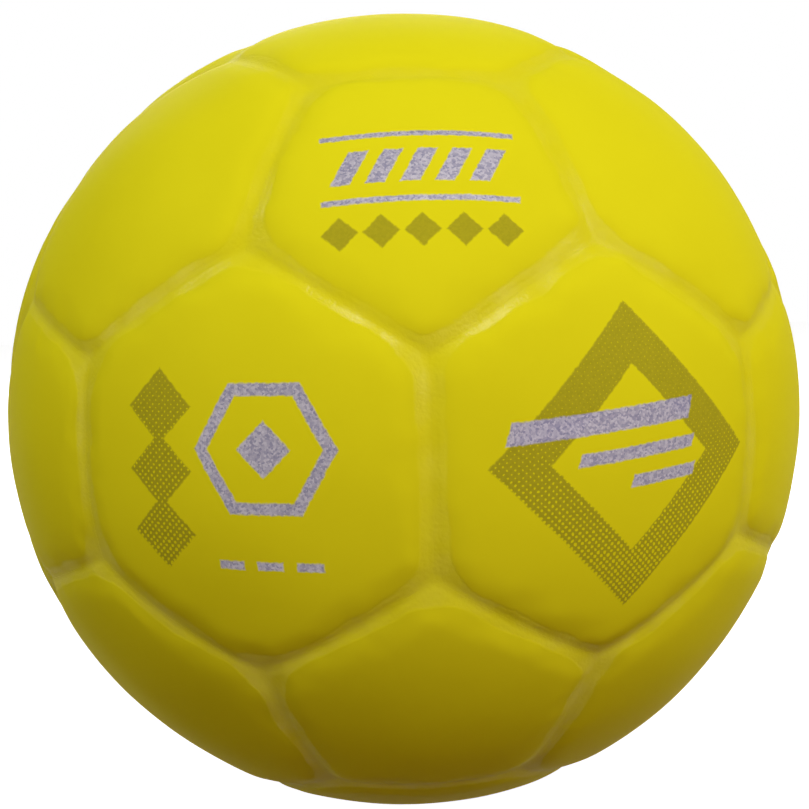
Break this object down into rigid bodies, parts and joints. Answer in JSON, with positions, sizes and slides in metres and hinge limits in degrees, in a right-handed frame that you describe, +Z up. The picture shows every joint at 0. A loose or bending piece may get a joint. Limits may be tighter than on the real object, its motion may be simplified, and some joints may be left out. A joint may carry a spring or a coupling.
{
  "type": "handball",
  "caption": "Inflatable handball: a soft cover of bonded, foam-backed panels on a rubber-coated wound carcass, with a bladder and a needle valve.",
  "frame": {"origin": "centre of the ball", "axes": "the three crossed two-fold axes of the panel pattern: a joint between two hexagons crosses each axis at a right angle. -Y looks at the upright joint in the middle of the picture, +Z is up, and the valve is at (-1, 1, 1)"},
  "size_m": [0.1876, 0.1876, 0.1876],
  "materials": {
    "cover_skin": "satin synthetic leather",
    "foam": "matt closed-cell foam",
    "carcass_rubber": "matt",
    "thread": "nylon thread set in latex",
    "bladder_rubber": "satin",
    "valve_rubber": "matt",
    "valve_core_rubber": "matt"
  },
  "bodies": {
    "root": {"pentagon_panel_01": "cover_skin", "pentagon_panel_02": "cover_skin", "pentagon_panel_03": "cover_skin", "pentagon_panel_04": "cover_skin", "pentagon_panel_05": "cover_skin", "pentagon_panel_06": "cover_skin", "pentagon_panel_07": "cover_skin", "pentagon_panel_08": "cover_skin", "pentagon_panel_09": "cover_skin", "pentagon_panel_10": "cover_skin", "pentagon_panel_11": "cover_skin", "pentagon_panel_12": "cover_skin", "hexagon_panel_01": "cover_skin", "hexagon_panel_02": "cover_skin", "hexagon_panel_03": "cover_skin", "hexagon_panel_04": "cover_skin", "hexagon_panel_05": "cover_skin", "hexagon_panel_06": "cover_skin", "hexagon_panel_07": "cover_skin", "hexagon_panel_08": "cover_skin", "hexagon_panel_09": "cover_skin", "hexagon_panel_10": "cover_skin", "hexagon_panel_11": "cover_skin", "hexagon_panel_12": "cover_skin", "hexagon_panel_13": "cover_skin", "hexagon_panel_14": "cover_skin", "hexagon_panel_15": "cover_skin", "hexagon_panel_16": "cover_skin", "hexagon_panel_17": "cover_skin", "hexagon_panel_18": "cover_skin", "hexagon_panel_19": "cover_skin", "valve_panel": "cover_skin", "pentagon_foam_pads": "foam", "hexagon_foam_pads": "foam", "rubber_carcass": "carcass_rubber", "thread_winding": "thread", "bladder": "bladder_rubber", "valve_housing": "valve_rubber", "valve_core": "valve_core_rubber"}
  },
  "joints": []
}
